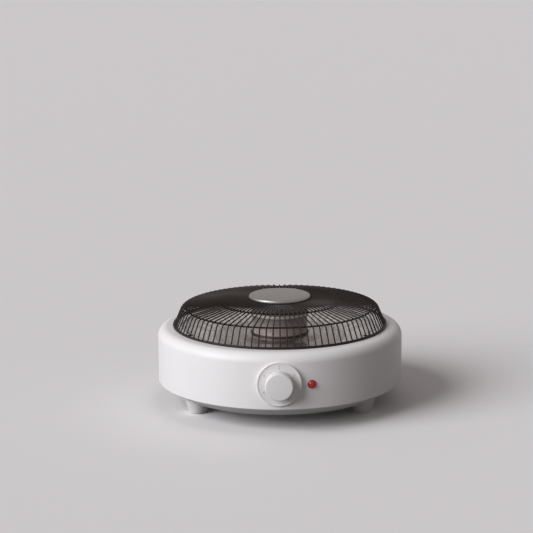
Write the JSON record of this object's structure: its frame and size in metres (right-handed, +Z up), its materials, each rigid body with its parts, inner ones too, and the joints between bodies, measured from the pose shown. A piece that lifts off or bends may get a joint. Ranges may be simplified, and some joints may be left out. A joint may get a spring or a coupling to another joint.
{
  "type": "electric brazier",
  "caption": "Round electric brazier: white casing on feet, domed wire guard over a reflector dish and heater drum, rotary knob and red pilot lamp.",
  "frame": {"origin": "centre of the box's base, on the floor; the casing's axis stands 8.55 mm behind it, because the knob stands out at the front", "axes": "+Z up, -Y towards the knob, +X to the right of someone who faces the knob"},
  "size_m": [0.37, 0.393, 0.1639],
  "materials": {
    "casing_white": "glossy white moulded casing",
    "foot_white": "plain white moulded feet",
    "knob_white": "glossy white moulded knob",
    "dial_white": "white dial plate with dark printed marks",
    "guard_coating": "dark brown coated wire",
    "satin_disc": "satin metal disc",
    "zinc_sheet": "zinc-plated sheet",
    "zinc_screw": "zinc-plated screws and nuts",
    "dish_metal": "satin spun reflector",
    "dark_steel": "heat-browned steel",
    "mica_sheet": "brownish mica sheet",
    "resistance_ribbon": "oxidised resistance ribbon",
    "ceramic": "unglazed white ceramic",
    "dark_moulding": "black moulded plastic",
    "pale_moulding": "pale moulded plastic",
    "brass_part": "plain brass",
    "red_lens": "red translucent lens",
    "inlet_rubber": "white rubber bush",
    "rivet_metal": "plain aluminium rivets"
  },
  "bodies": {
    "base": {"casing_shell": "casing_white", "base_pan": "casing_white", "feet": "foot_white", "foot_screws": "zinc_screw", "pan_screws": "zinc_screw", "guard_wires": "guard_coating", "guard_base_ring": "guard_coating", "guard_shoulder_ring": "guard_coating", "guard_inner_ring": "guard_coating", "guard_tabs": "guard_coating", "guard_hub_plate": "zinc_sheet", "centre_disc": "satin_disc", "disc_screw": "zinc_screw", "lip_screws": "zinc_screw", "lip_nuts": "zinc_screw", "reflector_dish": "dish_metal", "heater_foot_ring": "dark_steel", "heater_drum": "mica_sheet", "heater_cap": "dark_steel", "heater_core": "mica_sheet", "winding_low": "resistance_ribbon", "winding_high": "resistance_ribbon", "heater_stud": "zinc_screw", "heater_nuts": "zinc_screw", "ceramic_bushes": "ceramic", "dial_plate": "dial_white", "rotary_switch": "dark_moulding", "switch_nut": "brass_part", "switch_blades": "brass_part", "pilot_lens": "red_lens", "pilot_lamp": "dark_moulding", "lamp_clip": "zinc_sheet", "cord_inlet": "inlet_rubber", "cord_clamp": "dark_moulding", "clamp_screws": "zinc_screw", "terminal_block": "pale_moulding", "terminal_screws": "brass_part", "block_screw": "zinc_screw", "thermal_cutout": "zinc_sheet", "cutout_rivets": "rivet_metal"},
    "knob": {"knob": "knob_white", "switch_shaft": "dark_moulding"}
  },
  "joints": [
    {"name": "knob_turn", "type": "hinge", "parent": "base", "child": "knob", "pos_m": [0, -0.18145, 0.0742], "axis": [0, 1, 0], "range_deg": [0, 180]}
  ]
}
